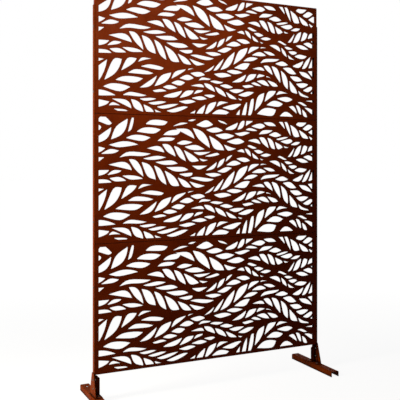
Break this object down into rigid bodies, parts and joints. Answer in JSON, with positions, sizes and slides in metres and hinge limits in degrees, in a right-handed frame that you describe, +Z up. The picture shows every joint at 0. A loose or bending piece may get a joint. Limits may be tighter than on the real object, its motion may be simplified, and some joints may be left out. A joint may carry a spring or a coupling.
{
  "type": "free-standing metal screen",
  "caption": "Free-standing room divider: stacked laser-cut steel panels with folded rims, bolted between angle posts that stand on channel feet.",
  "frame": {"origin": "on the floor, below the middle of the screen and of its feet", "axes": "+X along the screen's width to a viewer's right, +Y to the back, +Z up; the panels' fronts face -Y"},
  "size_m": [1.228, 0.4, 1.925],
  "materials": {
    "panel_paint": "matt rust-brown powder coat",
    "frame_paint": "matt rust-brown powder coat",
    "zinc_steel": "zinc-plated"
  },
  "bodies": {
    "root": {"panel_bottom": "panel_paint", "panel_middle": "panel_paint", "panel_top": "panel_paint", "left_post": "frame_paint", "right_post": "frame_paint", "left_foot": "frame_paint", "right_foot": "frame_paint", "left_bracket": "frame_paint", "right_bracket": "frame_paint", "left_post_bolts": "zinc_steel", "right_post_bolts": "zinc_steel", "left_post_nuts": "zinc_steel", "right_post_nuts": "zinc_steel", "left_bracket_bolts": "zinc_steel", "right_bracket_bolts": "zinc_steel", "left_bracket_nuts": "zinc_steel", "right_bracket_nuts": "zinc_steel", "left_foot_bolts": "zinc_steel", "right_foot_bolts": "zinc_steel", "left_foot_nuts": "zinc_steel", "right_foot_nuts": "zinc_steel", "lower_seam_bolts": "zinc_steel", "lower_seam_nuts": "zinc_steel", "upper_seam_bolts": "zinc_steel", "upper_seam_nuts": "zinc_steel"}
  },
  "joints": []
}
